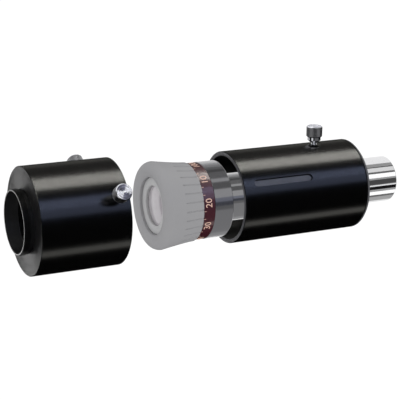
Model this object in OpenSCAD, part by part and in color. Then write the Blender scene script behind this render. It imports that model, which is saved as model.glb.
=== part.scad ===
// Variable projection adapter for an astronomical camera.
// The axis of light is X. The nosepiece points along +X and its shoulder seats at X = 0.
// The tube's thumbscrew stands along +Z. Sizes are in millimetres.
// The camera sleeve and the eyepiece are drawn off the tube, as they are when the adapter is loaded.

/* [Projection tube] */
// Outside diameter of the projection tube
tube_d = 62; // [61:0.5:68]
// Wall of the projection tube
tube_wall = 3; // [2.6:0.1:3.2]
// Length of the projection tube from its mouth to its rear face
tube_l = 96.4; // [94:0.2:110]
// Bevel round the rear edge of the tube
rear_bevel = 1.2; // [0.4:0.1:1.4]
// Edge break on the turned aluminium parts
edge_break = 0.4; // [0.2:0.1:0.6]

/* [Guide groove] */
// Width of the milled groove that the front screw's tip runs in
groove_w = 4.2; // [4:0.1:6]
// Length of the groove from end to end
groove_l = 44; // [36:1:50]
// Distance from the tube's mouth to the start of the groove
groove_start = 8; // [5:1:10]
// Depth of the groove at its middle
groove_depth = 1.2; // [0.8:0.1:1.6]
// Angle of the groove round the tube, from the top towards the front
groove_angle = 60; // [50:1:70]

/* [Eyepiece holder] */
// Depth of the holder's front face behind the tube's mouth
holder_depth = 32.8; // [32:0.1:36]
// Depth of the socket beyond the length of the eyepiece's barrel
socket_spare = 1; // [0.5:0.1:2]
// Wall of the socket
socket_wall = 4; // [3:0.1:6]
// Width of the land that carries the tube's thumbscrew
land_w = 16; // [8:1:20]
// Wall of the light tube behind the socket
light_wall = 4.4; // [3:0.1:6]
// Width of the rear land in the tube's bore
rear_land_w = 3.4; // [2:0.2:5]
// Thickness of the rear flange
flange_t = 5; // [3:0.5:7]
// Step from the tube's bore to the counterbore that seats the flange
flange_step = 0.8; // [0.5:0.1:0.9]

/* [Nosepiece] */
// Outside diameter of the nosepiece, a 1.25 inch barrel
nose_d = 31.75; // [31.5:0.05:32]
// Length of the nosepiece behind its shoulder
nose_l = 32.2; // [25:0.2:40]
// Diameter of the light path through the nosepiece
light_d = 26.8; // [24:0.2:27.4]
// Diameter of the screwed spigot that fixes the nosepiece
nose_spigot_d = 29.8; // [29:0.1:30.4]
// Length of that spigot
nose_spigot_l = 6; // [4:0.5:8]
// Bevel at the nosepiece's free end
nose_bevel = 0.8; // [0.3:0.1:1]
// Bore of the filter thread at the free end
filter_d = 28; // [27.8:0.1:28.4]
// Length of the filter thread
filter_l = 5; // [3:0.5:8]

/* [Camera sleeve] */
// Wall of the camera sleeve
sleeve_wall = 3.6; // [3:0.1:5]
// Length of the camera sleeve without the neck
sleeve_l = 59; // [55:0.5:70]
// Thickness of the sleeve's end wall
end_wall = 4; // [3.4:0.1:6]
// Thickness of the lip that stops the thread ring
end_lip = 1.2; // [0.8:0.1:2]
// Distance that the sleeve is drawn off the tube's mouth
sleeve_gap = 81.4; // [72:0.2:100]

/* [Camera thread ring] */
// Outside diameter of the camera thread, a T2 neck
neck_d = 42; // [40:0.5:44]
// Length of the neck in front of the sleeve
neck_l = 6.4; // [5:0.1:8]
// Wall of the neck
neck_wall = 1.3; // [1.1:0.1:2]
// Width of the undercut behind the thread
undercut_w = 2; // [1:0.1:2.5]
// Depth of that undercut
undercut_depth = 0.5; // [0.3:0.05:0.6]

/* [Thumbscrews] */
// Diameter of the screws' thread
screw_d = 4; // [3.6:0.1:4]
// Diameter of the knurled head
head_d = 11; // [9.6:0.1:13]
// Height of the knurled head
head_h = 7.5; // [5:0.1:9]
// Bevel on the rims of the head
head_bevel = 0.6; // [0.3:0.1:1]
// Number of ridges in the knurl
knurl_count = 32; // [20:1:40]
// Depth of the knurl
knurl_depth = 0.35; // [0.2:0.05:0.5]
// Diameter of the plain collar under the head
collar_d = 8.9; // [7.6:0.1:9.2]
// Height of the collar
collar_h = 3.5; // [2:0.1:5]
// Diameter of the collar's foot
collar_foot_d = 6; // [5:0.1:7]
// Height of the collar's bevelled foot
collar_foot_h = 1.2; // [0.5:0.1:1.8]
// Diameter of the turning centre in the head's end
centre_d = 1.6; // [1:0.1:2.5]
// Distance of the tube's thumbscrew from the tube's mouth
tube_screw_from_mouth = 68.4; // [67:0.1:72]
// Gap between the tube and the collar of its thumbscrew
tube_screw_stand = 1.3; // [1.2:0.1:3]
// Distance of the sleeve's thumbscrews from the sleeve's open end
sleeve_screw_from_end = 9.2; // [7:0.1:12]
// Gap between the sleeve and the collars of its thumbscrews
sleeve_screw_stand = 3.75; // [2.5:0.05:5]
// Angle between the sleeve's two thumbscrews
sleeve_screw_spread = 120; // [90:5:150]
// Depth of the flat spot face round the tube's thumbscrew
spot_depth = 0.5; // [0.3:0.1:0.9]

/* [Nylon screw tips] */
// Diameter of a nylon tip
tip_d = 3.8; // [3.2:0.1:3.8]
// Thickness of a nylon tip
tip_t = 1.2; // [0.8:0.1:1.6]
// Diameter of the stem that holds the tip in the screw
stem_d = 1.6; // [1.2:0.1:2]
// Length of the stem
stem_l = 1.6; // [1:0.1:2.5]
// Gap between the tube's screw tip and a loaded eyepiece barrel, as drawn
tube_tip_lift = 1.2; // [1.1:0.05:1.6]
// Distance of the sleeve's screw tips above the sleeve's bore, as drawn
sleeve_tip_lift = 0.65; // [0.5:0.05:1]

/* [Eyepiece body and barrel] */
// Length of barrel that has entered the socket, as drawn
barrel_entry = 1; // [0.5:0.1:4]
// Diameter of the eyepiece's metal body
body_d = 51.4; // [50:0.1:52.4]
// Length of the bare metal band
band_l = 13.4; // [10:0.1:16]
// Diameter of the eyepiece's barrel, 1.25 inch
barrel_d = 31.75; // [31.5:0.05:31.8]
// Length of the barrel
barrel_l = 40; // [38:0.5:44]
// Bore of the barrel
barrel_bore_d = 27.8; // [26:0.1:27.8]
// Diameter of the barrel's screwed spigot
barrel_spigot_d = 30.4; // [30:0.1:31]
// Length of that spigot
barrel_spigot_l = 4.6; // [3:0.1:6]
// Bevel at the barrel's free end
barrel_bevel = 0.6; // [0.3:0.1:1]
// Opening of the field stop
field_stop_d = 23; // [20:0.5:25]
// Thickness of the field stop
field_stop_t = 1.5; // [1:0.1:2]
// Distance of the field stop behind the shoulder
field_stop_at = 2; // [1:0.5:6]

/* [Label ring and eyecup] */
// Length of the coloured label ring
label_l = 8.4; // [6:0.1:10]
// Wall of the label ring
label_wall = 0.9; // [0.6:0.1:1.2]
// Depth that the label ring lies below the metal band
label_drop = 0.2; // [0.1:0.05:0.4]
// Length of the rubber eyecup
cup_l = 27.6; // [27:0.1:31]
// Diameter of the eyecup at the label ring
cup_rear_d = 52.6; // [51.8:0.1:53.2]
// Largest diameter of the eyecup, near its rim
cup_d = 58.4; // [56:0.1:60]
// Power of the curve that the eyecup flares by, where 1 is a straight cone
cup_flare = 1.3; // [1:0.1:2]
// Length of the rounded rim
rim_l = 5; // [3:0.1:6]
// Width of the rounded rim
rim_w = 4.1; // [3:0.1:6]
// Diameter of the eyecup's opening
cup_hole_d = 38; // [37.6:0.1:39]
// Depth of the dish between the rim and the edge of the opening
dish_depth = 1.8; // [0.5:0.1:2.5]
// Depth of the retainer's face below the edge of the opening
cup_recess = 2; // [1:0.1:3]
// Number of grip grooves round the eyecup
groove_count = 29; // [16:1:40]
// Width of the bar that each grip groove is cut with
grip_bar_d = 1; // [0.6:0.1:1.4]
// Depth of the grip grooves
grip_depth = 0.45; // [0.2:0.05:0.6]
// Length of the grip grooves
grip_l = 13; // [8:0.5:16]

/* [Lenses] */
// Diameter of the four lenses
lens_d = 29.3; // [28.8:0.1:29.4]
// Radius of the outer faces of the two crown lenses
outer_face_r = 60; // [50:1:90]
// Radius of the cemented faces
cemented_r = 26; // [24:0.5:30]
// Radius of the two faces that look at each other
inner_face_r = 90; // [70:1:120]
// Thickness of the crown lenses at their edge
crown_edge = 1.2; // [1:0.1:2]
// Thickness of the flint lenses at their edge
flint_edge = 5.3; // [5.2:0.1:6]
// Air gap between the two lens pairs on the axis
air_gap = 0.5; // [0.3:0.1:2]
// Diameter of the opening in the eye lens retainer
retainer_hole_d = 26.6; // [25:0.1:27.2]
// Thickness of the retainer's visible ring
retainer_t = 2.3; // [1.6:0.1:3]
// Wall of the retainer's screwed skirt
skirt_wall = 2.2; // [1.6:0.1:2.4]
// Length of that skirt
skirt_l = 3; // [2:0.1:4]
// Step from the eyecup's opening out to the lens cell that it grips
cell_step = 2.2; // [1.5:0.1:3]

/* [Fits] */
// Radial gap between the sleeve and the tube
sleeve_play = 0.15; // [0.1:0.05:0.3]
// Radial gap between the eyepiece's barrel and its socket
barrel_play = 0.05; // [0.03:0.01:0.1]
// Radial gap in the screwed joints of fixed parts
thread_play = 0.05; // [0.02:0.01:0.08]
// Radial gap of the thumbscrews in their holes
screw_play = 0.05; // [0.03:0.01:0.1]
// Radial gap between the retainer and the eyecup's opening
retainer_play = 0.1; // [0.05:0.05:0.3]
// Gap in the cement between two lenses
cement = 0.03; // [0.02:0.01:0.05]
// Gap between the lens rims and what they rest on
lens_seat = 0.1; // [0.05:0.01:0.2]

/* [Hidden] */
$fn = 96;

// A cutter runs past the faces that it opens by this much
past = 1;

// Radii
tube_r = tube_d / 2;
bore_r = tube_r - tube_wall;
flange_r = bore_r + flange_step;
sleeve_bore_r = tube_r + sleeve_play;
sleeve_r = sleeve_bore_r + sleeve_wall;
socket_r = barrel_d / 2 + barrel_play;
neck_r = neck_d / 2;
neck_bore_r = neck_r - neck_wall;
register_r = neck_r - undercut_depth;
screw_hole_r = screw_d / 2 + screw_play;
groove_floor_r = tube_r - groove_depth;

// Places along the axis
mouth_x = -tube_l;
holder_x = mouth_x + holder_depth;
socket_end_x = holder_x + barrel_l + socket_spare;
tube_screw_x = mouth_x + tube_screw_from_mouth;
open_end_x = mouth_x - sleeve_gap;
sleeve_face_x = open_end_x - sleeve_l;
sleeve_screw_x = open_end_x - sleeve_screw_from_end;
shoulder_x = holder_x + barrel_entry - barrel_l;
band_x = shoulder_x - band_l;
label_x = band_x - label_l;
cup_x = label_x - cup_l;

// Angles of the sleeve's thumbscrews. The front one lines up with the groove
front_angle = groove_angle;
back_angle = groove_angle - sleeve_screw_spread;

// Places of the thumbscrews and their tips, as radii from the axis
tube_collar_r = tube_r + tube_screw_stand;
tube_tip_r = barrel_d / 2 + tube_tip_lift;
sleeve_collar_r = sleeve_r + sleeve_screw_stand;
sleeve_tip_r = sleeve_bore_r + sleeve_tip_lift;

// Lens stack, from the eye to the field stop
lens_r = lens_d / 2;
lens_bore_r = lens_r + lens_seat;
skirt_r = lens_bore_r + skirt_wall;
cell_r = cup_hole_d / 2 + cell_step;
retainer_r = cup_hole_d / 2 - retainer_play;
outer_sag = sag(outer_face_r, lens_r);
cemented_sag = sag(cemented_r, lens_r);
inner_sag = sag(inner_face_r, lens_r);
spacer_l = 2 * inner_sag + air_gap;
pair_l = crown_edge + flint_edge;
cell_x = cup_x + dish_depth + cup_recess + retainer_t;
lens_x = cell_x + lens_seat;
field_x = lens_x + 2 * pair_l + spacer_l;
face_steps = 12;

// Facets round a grip groove's bar
grip_facets = 12;

function sag(r, half) = r - sqrt(r * r - half * half);

// Radius of the eyecup's outside at a share t of the way from its rear to its widest ring
function cup_r(t) = cup_rear_d / 2 + (cup_d - cup_rear_d) / 2 * pow(t, cup_flare);

// A solid of revolution round the X axis from points [radius, x]
module turned(points) {
    rotate([0, 90, 0]) rotate_extrude() polygon(points);
}

// Puts children at x, with their Z axis pointing out at an angle from the top towards the front
module radial(x, angle) {
    translate([x, 0, 0]) rotate([angle, 0, 0]) children();
}

module projection_tube() {
    color([0.07, 0.07, 0.09])
    difference() {
        turned([
            [bore_r, mouth_x + edge_break], [bore_r + edge_break, mouth_x],
            [tube_r - edge_break, mouth_x], [tube_r, mouth_x + edge_break],
            [tube_r, -rear_bevel], [tube_r - rear_bevel, 0],
            [flange_r, 0], [flange_r, -flange_t], [bore_r, -flange_t]
        ]);
        guide_groove();
        radial(tube_screw_x, 0) {
            translate([0, 0, bore_r - past]) cylinder(r = screw_hole_r, h = tube_wall + 2 * past);
            translate([0, 0, tube_r - spot_depth]) cylinder(d = collar_d + 2 * edge_break, h = past);
        }
    }
}

module guide_groove() {
    run = groove_l - groove_w;
    radial(mouth_x + groove_start + groove_w / 2, groove_angle)
    translate([0, 0, groove_floor_r]) {
        for (x = [0, run]) translate([x, 0, 0]) cylinder(d = groove_w, h = groove_depth + past);
        translate([0, -groove_w / 2, 0]) cube([run, groove_w, groove_depth + past]);
    }
}

module eyepiece_holder() {
    land_r = bore_r - thread_play;
    nose_hole_r = nose_spigot_d / 2 + thread_play;
    light_r = light_d / 2;
    color([0.10, 0.10, 0.11])
    difference() {
        turned([
            [socket_r + edge_break, holder_x],
            [socket_r + socket_wall - edge_break, holder_x],
            [socket_r + socket_wall, holder_x + edge_break],
            [socket_r + socket_wall, tube_screw_x - land_w / 2],
            [land_r, tube_screw_x - land_w / 2], [land_r, tube_screw_x + land_w / 2],
            [light_r + light_wall, tube_screw_x + land_w / 2],
            [light_r + light_wall, -flange_t - rear_land_w],
            [land_r, -flange_t - rear_land_w], [land_r, -flange_t],
            [flange_r - thread_play, -flange_t], [flange_r - thread_play, 0],
            [nose_hole_r, 0], [nose_hole_r, -nose_spigot_l - edge_break],
            [light_r, -nose_spigot_l - edge_break], [light_r, socket_end_x],
            [socket_r, socket_end_x], [socket_r, holder_x + edge_break]
        ]);
        radial(tube_screw_x, 0)
        translate([0, 0, light_r]) cylinder(r = screw_hole_r, h = bore_r - light_r + past);
    }
}

module nosepiece() {
    nose_r = nose_d / 2;
    color([0.85, 0.86, 0.88])
    turned([
        [light_d / 2, -nose_spigot_l], [nose_spigot_d / 2, -nose_spigot_l],
        [nose_spigot_d / 2, 0], [nose_r, 0],
        [nose_r, nose_l - nose_bevel], [nose_r - nose_bevel, nose_l],
        [filter_d / 2, nose_l], [filter_d / 2, nose_l - filter_l],
        [light_d / 2, nose_l - filter_l]
    ]);
}

module camera_sleeve() {
    inner_face_x = sleeve_face_x + end_wall;
    color([0.07, 0.07, 0.09])
    difference() {
        turned([
            [register_r + thread_play, sleeve_face_x],
            [sleeve_r - edge_break, sleeve_face_x], [sleeve_r, sleeve_face_x + edge_break],
            [sleeve_r, open_end_x - edge_break], [sleeve_r - edge_break, open_end_x],
            [sleeve_bore_r + edge_break, open_end_x], [sleeve_bore_r, open_end_x - edge_break],
            [sleeve_bore_r, inner_face_x],
            [neck_bore_r, inner_face_x], [neck_bore_r, inner_face_x - end_lip],
            [register_r + thread_play, inner_face_x - end_lip]
        ]);
        for (angle = [front_angle, back_angle])
            radial(sleeve_screw_x, angle)
            translate([0, 0, sleeve_bore_r - past]) cylinder(r = screw_hole_r, h = sleeve_wall + 2 * past);
    }
}

module camera_thread_ring() {
    tip_x = sleeve_face_x - neck_l;
    seat_x = sleeve_face_x + end_wall - end_lip;
    bevel = edge_break;
    color([0.12, 0.12, 0.13])
    turned([
        [neck_bore_r, tip_x], [neck_r - bevel, tip_x], [neck_r, tip_x + bevel],
        [neck_r, sleeve_face_x - undercut_w], [register_r, sleeve_face_x - undercut_w + undercut_depth],
        [register_r, seat_x], [neck_bore_r, seat_x]
    ]);
}

// A thumbscrew along +Z, with the foot of its collar at Z = 0 and a shank of the given length below
module thumbscrew(shank_l) {
    shank_r = screw_d / 2;
    color([0.80, 0.81, 0.83])
    difference() {
        union() {
            rotate_extrude() polygon([
                [0, -shank_l], [shank_r, -shank_l], [shank_r, 0], [collar_foot_d / 2, 0],
                [collar_d / 2, collar_foot_h], [collar_d / 2, collar_h], [0, collar_h]
            ]);
            translate([0, 0, collar_h]) knurled_head();
        }
        translate([0, 0, -shank_l - past]) cylinder(d = stem_d + 2 * screw_play, h = stem_l + screw_play + past);
        translate([0, 0, collar_h + head_h]) sphere(d = centre_d);
    }
}

// Straight ridges, trimmed by a turned outline with two bevelled rims
module knurled_head() {
    head_r = head_d / 2;
    intersection() {
        linear_extrude(height = head_h)
        polygon([
            for (i = [0 : 2 * knurl_count - 1])
                let (a = 180 * i / knurl_count, r = head_r - (i % 2) * knurl_depth)
                [r * cos(a), r * sin(a)]
        ]);
        rotate_extrude() polygon([
            [0, 0], [head_r - head_bevel, 0], [head_r + past, head_bevel + past],
            [head_r + past, head_h - head_bevel - past], [head_r - head_bevel, head_h], [0, head_h]
        ]);
    }
}

// A nylon tip along +Z with its pressing face at Z = 0
module screw_tip() {
    color([0.90, 0.89, 0.84])
    rotate_extrude() polygon([
        [0, 0], [tip_d / 2 - edge_break / 2, 0], [tip_d / 2, edge_break / 2],
        [tip_d / 2, tip_t], [stem_d / 2, tip_t], [stem_d / 2, tip_t + stem_l], [0, tip_t + stem_l]
    ]);
}

module tube_thumbscrew() {
    radial(tube_screw_x, 0)
    translate([0, 0, tube_collar_r]) thumbscrew(tube_collar_r - tube_tip_r - tip_t - screw_play);
}

module tube_screw_tip() {
    radial(tube_screw_x, 0) translate([0, 0, tube_tip_r]) screw_tip();
}

module sleeve_thumbscrew(angle) {
    radial(sleeve_screw_x, angle)
    translate([0, 0, sleeve_collar_r]) thumbscrew(sleeve_collar_r - sleeve_tip_r - tip_t - screw_play);
}

module sleeve_screw_tip(angle) {
    radial(sleeve_screw_x, angle) translate([0, 0, sleeve_tip_r]) screw_tip();
}

module eyecup() {
    steps = 10;
    rim_steps = 6;
    dish_steps = 4;
    widest_x = cup_x + rim_l;
    crest_r = cup_d / 2 - rim_w;
    hole_r = cup_hole_d / 2;
    outside = [
        for (i = [0 : steps])
            let (t = i / steps)
            [cup_r(t), label_x + (widest_x - label_x) * t]
    ];
    rim = [
        for (i = [1 : rim_steps])
            let (a = 90 * i / rim_steps)
            [cup_d / 2 - rim_w * (1 - cos(a)), widest_x - rim_l * sin(a)]
    ];
    dish = [
        for (i = [1 : dish_steps])
            let (t = i / dish_steps)
            [crest_r - (crest_r - hole_r) * t, cup_x + dish_depth * t * t]
    ];
    inside = [
        [hole_r, cell_x - thread_play], [cell_r + thread_play, cell_x - thread_play],
        [cell_r + thread_play, label_x]
    ];
    color([0.60, 0.60, 0.62])
    difference() {
        turned(concat(outside, rim, dish, inside));
        grip_grooves();
    }
}

// Grip grooves with a round bottom that run from the label ring along the flare and end in half a ball
module grip_grooves() {
    bar_r = grip_bar_d / 2;
    run = grip_l - bar_r;
    start_r = cup_r(0) - grip_depth + bar_r;
    end_r = cup_r(run / (cup_l - rim_l)) - grip_depth + bar_r;
    rise = atan((end_r - start_r) / run);
    for (i = [0 : groove_count - 1])
        rotate([360 * i / groove_count, 0, 0])
        translate([label_x - run, 0, end_r])
        rotate([0, 90 + rise, 0]) {
            cylinder(r = bar_r, h = (run + past) / cos(rise), $fn = grip_facets);
            sphere(r = bar_r, $fn = grip_facets);
        }
}

module label_ring() {
    outer_r = body_d / 2 - label_drop;
    color([0.42, 0.10, 0.13])
    turned([
        [outer_r - label_wall, label_x], [outer_r, label_x],
        [outer_r, band_x], [outer_r - label_wall, band_x]
    ]);
}

module eyepiece_body() {
    body_r = body_d / 2;
    seat_r = body_r - label_drop - label_wall - thread_play;
    spigot_hole_l = barrel_spigot_l + lens_seat;
    hole_r = retainer_hole_d / 2;
    seat_x = field_x + outer_sag - sag(outer_face_r, hole_r) + lens_seat;
    color([0.66, 0.67, 0.69])
    turned([
        [skirt_r + thread_play, cell_x], [cell_r, cell_x], [cell_r, label_x],
        [seat_r, label_x], [seat_r, band_x],
        [body_r - edge_break, band_x], [body_r, band_x + edge_break],
        [body_r, shoulder_x - edge_break], [body_r - edge_break, shoulder_x],
        [barrel_spigot_d / 2 + thread_play, shoulder_x],
        [barrel_spigot_d / 2 + thread_play, shoulder_x - spigot_hole_l],
        [hole_r, shoulder_x - spigot_hole_l], [hole_r, seat_x],
        [lens_bore_r, seat_x], [lens_bore_r, cell_x + skirt_l + lens_seat],
        [skirt_r + thread_play, cell_x + skirt_l + lens_seat]
    ]);
}

module eyepiece_barrel() {
    barrel_r = barrel_d / 2;
    end_x = shoulder_x + barrel_l;
    color([0.85, 0.86, 0.88])
    turned([
        [barrel_bore_d / 2, shoulder_x - barrel_spigot_l],
        [barrel_spigot_d / 2, shoulder_x - barrel_spigot_l], [barrel_spigot_d / 2, shoulder_x],
        [barrel_r, shoulder_x], [barrel_r, end_x - barrel_bevel], [barrel_r - barrel_bevel, end_x],
        [filter_d / 2, end_x], [filter_d / 2, end_x - filter_l], [barrel_bore_d / 2, end_x - filter_l]
    ]);
}

module field_stop() {
    stop_x = shoulder_x + field_stop_at;
    outer_r = barrel_bore_d / 2 - thread_play;
    color([0.08, 0.08, 0.08])
    turned([
        [outer_r, stop_x], [outer_r, stop_x + field_stop_t],
        [field_stop_d / 2 + edge_break, stop_x + field_stop_t], [field_stop_d / 2, stop_x]
    ]);
}

module eye_lens_retainer() {
    hole_r = retainer_hole_d / 2;
    front_x = cell_x - retainer_t;
    lip_x = lens_x - outer_sag + sag(outer_face_r, hole_r) - lens_seat;
    skirt_x = cell_x + skirt_l;
    color([0.30, 0.30, 0.32])
    turned([
        [hole_r, front_x + edge_break], [hole_r + edge_break, front_x],
        [retainer_r - edge_break, front_x], [retainer_r, front_x + edge_break],
        [retainer_r, cell_x], [skirt_r, cell_x], [skirt_r, skirt_x],
        [lens_bore_r, skirt_x], [lens_bore_r, lip_x], [hole_r, lip_x]
    ]);
}

// Points on a lens face from the axis to the rim. The face's middle lies at x and its rim on the side given
function lens_face(x, radius, side) = [
    for (i = [0 : face_steps])
        let (q = lens_r * i / face_steps)
        [q, x + side * sag(radius, q)]
];

function reversed(points) = [for (i = [len(points) - 1 : -1 : 0]) points[i]];

// The crown lens of a pair, with the front of its rim at X = 0 and its outer face towards -X
module crown_lens() {
    color([0.75, 0.70, 0.80, 0.5])
    turned(concat(
        lens_face(-outer_sag, outer_face_r, 1),
        reversed(lens_face(crown_edge + cemented_sag, cemented_r, -1))
    ));
}

// The flint lens behind it, hollowed on its front to take the crown lens
module flint_lens() {
    color([0.75, 0.70, 0.80, 0.5])
    turned(concat(
        lens_face(crown_edge + cemented_sag + cement, cemented_r, -1),
        reversed(lens_face(pair_l + inner_sag, inner_face_r, -1))
    ));
}

module eye_crown_lens() {
    translate([lens_x, 0, 0]) crown_lens();
}

module eye_flint_lens() {
    translate([lens_x, 0, 0]) flint_lens();
}

module lens_spacer() {
    front_x = lens_x + pair_l;
    color([0.10, 0.10, 0.10])
    turned([
        [retainer_hole_d / 2, front_x + inner_sag / 2], [lens_r, front_x],
        [lens_r, front_x + spacer_l], [retainer_hole_d / 2, front_x + spacer_l - inner_sag / 2]
    ]);
}

module field_flint_lens() {
    translate([field_x, 0, 0]) mirror([1, 0, 0]) flint_lens();
}

module field_crown_lens() {
    translate([field_x, 0, 0]) mirror([1, 0, 0]) crown_lens();
}

projection_tube();
eyepiece_holder();
nosepiece();
tube_thumbscrew();
tube_screw_tip();
camera_sleeve();
camera_thread_ring();
sleeve_thumbscrew(front_angle);  // front_thumbscrew
sleeve_screw_tip(front_angle);  // front_screw_tip
sleeve_thumbscrew(back_angle);  // back_thumbscrew
sleeve_screw_tip(back_angle);  // back_screw_tip
eyecup();
label_ring();
eyepiece_body();
eyepiece_barrel();
field_stop();
eye_lens_retainer();
eye_crown_lens();
eye_flint_lens();
lens_spacer();
field_flint_lens();
field_crown_lens();
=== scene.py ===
# %% [markdown]
# # A projection adapter, pulled apart along its axis
# The object is a metal tube that joins a telescope, an eyepiece and a camera. The CAD model is already
# packed, with each part in its true place. This lesson dresses that model: it builds finer copies of the
# parts that show, gives every part its finish, and lights the whole as in a small studio.

# %% Load the packed model
import math

import bpy
from mathutils import Matrix, Vector


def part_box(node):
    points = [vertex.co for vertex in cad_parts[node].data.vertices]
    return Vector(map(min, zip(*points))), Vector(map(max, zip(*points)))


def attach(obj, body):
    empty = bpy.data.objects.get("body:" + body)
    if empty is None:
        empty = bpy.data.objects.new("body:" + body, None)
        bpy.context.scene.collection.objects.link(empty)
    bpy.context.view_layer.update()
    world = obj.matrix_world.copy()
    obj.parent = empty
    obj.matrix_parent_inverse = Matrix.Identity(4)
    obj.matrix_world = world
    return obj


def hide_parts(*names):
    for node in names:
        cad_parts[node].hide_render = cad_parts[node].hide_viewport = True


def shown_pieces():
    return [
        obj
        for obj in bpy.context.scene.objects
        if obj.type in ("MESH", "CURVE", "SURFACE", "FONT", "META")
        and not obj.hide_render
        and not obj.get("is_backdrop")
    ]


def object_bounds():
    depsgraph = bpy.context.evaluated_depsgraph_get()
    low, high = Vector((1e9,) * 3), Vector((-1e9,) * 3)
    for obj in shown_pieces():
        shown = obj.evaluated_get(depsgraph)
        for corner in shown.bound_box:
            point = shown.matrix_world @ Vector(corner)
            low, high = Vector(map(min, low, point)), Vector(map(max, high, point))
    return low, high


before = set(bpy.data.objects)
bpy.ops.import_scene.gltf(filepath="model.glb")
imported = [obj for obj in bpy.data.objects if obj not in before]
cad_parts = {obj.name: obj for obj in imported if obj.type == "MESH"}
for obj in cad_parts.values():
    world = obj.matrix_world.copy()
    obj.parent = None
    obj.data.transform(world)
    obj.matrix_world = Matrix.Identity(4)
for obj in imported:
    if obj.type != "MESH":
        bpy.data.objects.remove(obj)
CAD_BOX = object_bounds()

MM = 0.001
print("box in mm:", [[round(x / MM, 1) for x in corner] for corner in CAD_BOX])

# %% [markdown]
# ## Sizes
# All the turned parts share the X axis. These are their radii and the places of their shoulders, in
# millimetres, as in the part's source. Where a box of the packed model gives a place, it is read from there,
# so that the dressed part follows the model. EDGE is the small bevel that every turned edge has, and the
# screws' angles are counted from the top towards the camera side.

# %% Read the places along the axis


def span(node):
    """The lowest and highest X of a CAD part, in millimetres."""
    low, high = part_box(node)
    return low.x / MM, high.x / MM


MOUTH = span("projection_tube")[0]
SLEEVE_FACE, SLEEVE_OPEN = span("camera_sleeve")
NECK_TIP, NECK_SEAT = span("camera_thread_ring")
CUP_RIM, LABEL_START = span("eyecup")
LABEL_END = span("label_ring")[1]
SHOULDER = span("eyepiece_body")[1]
CELL = span("eyepiece_body")[0]
BARREL_START, BARREL_END = span("eyepiece_barrel")
NOSE_START, NOSE_END = span("nosepiece")
TUBE_RADIUS, TUBE_BORE = 31.0, 28.0
SLEEVE_RADIUS, SLEEVE_BORE = 34.75, 31.15
NECK_RADIUS, NECK_ROOT, NECK_BORE = 21.0, 20.5, 19.7
BODY_RADIUS, BARREL_RADIUS = 25.7, 15.875
EDGE = 0.4
GROOVE_ANGLE, BACK_ANGLE = 60, -60
TUBE_SCREW_X, SLEEVE_SCREW_X = MOUTH + 68.4, SLEEVE_OPEN - 9.2
print("neck, sleeve, cup and mouth:", [round(x, 2) for x in (NECK_TIP, SLEEVE_FACE, CUP_RIM, MOUTH)])

# %% [markdown]
# ## A shorthand for shader nodes
# A finish is a small sum over noises and places. As nodes it is long, so one class wraps a node's output and
# lets Python's own signs add the Math nodes.

# %% Let the output of a node stand in a sum


class Wire:
    """The output of a node, which can stand in a sum."""

    def __init__(self, recipe, socket):
        self.recipe, self.socket = recipe, socket

    def sum(self, operation, *values):
        return self.recipe.node("Math", {"operation": operation}, dict(enumerate(values)))

    def __add__(self, other):
        return self.sum("ADD", self, other)

    def __sub__(self, other):
        return self.sum("SUBTRACT", self, other)

    def __rsub__(self, other):
        return self.sum("SUBTRACT", other, self)

    def __mul__(self, other):
        return self.sum("MULTIPLY", self, other)

    __radd__, __rmul__ = __add__, __mul__

    def root(self):
        return self.sum("SQRT", self)


print("outputs can be added and multiplied")

# %% [markdown]
# ## A recipe for each finish
# A recipe holds one node tree. Any node that isn't a sum comes from one method, which takes the node's kind,
# its settings, and the values or wires of its sockets. What many finishes need, such as noise, the marks of
# a lathe or a blend of two colours, is a method too.

# %% Make the recipe
WEDGES = 2


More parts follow.
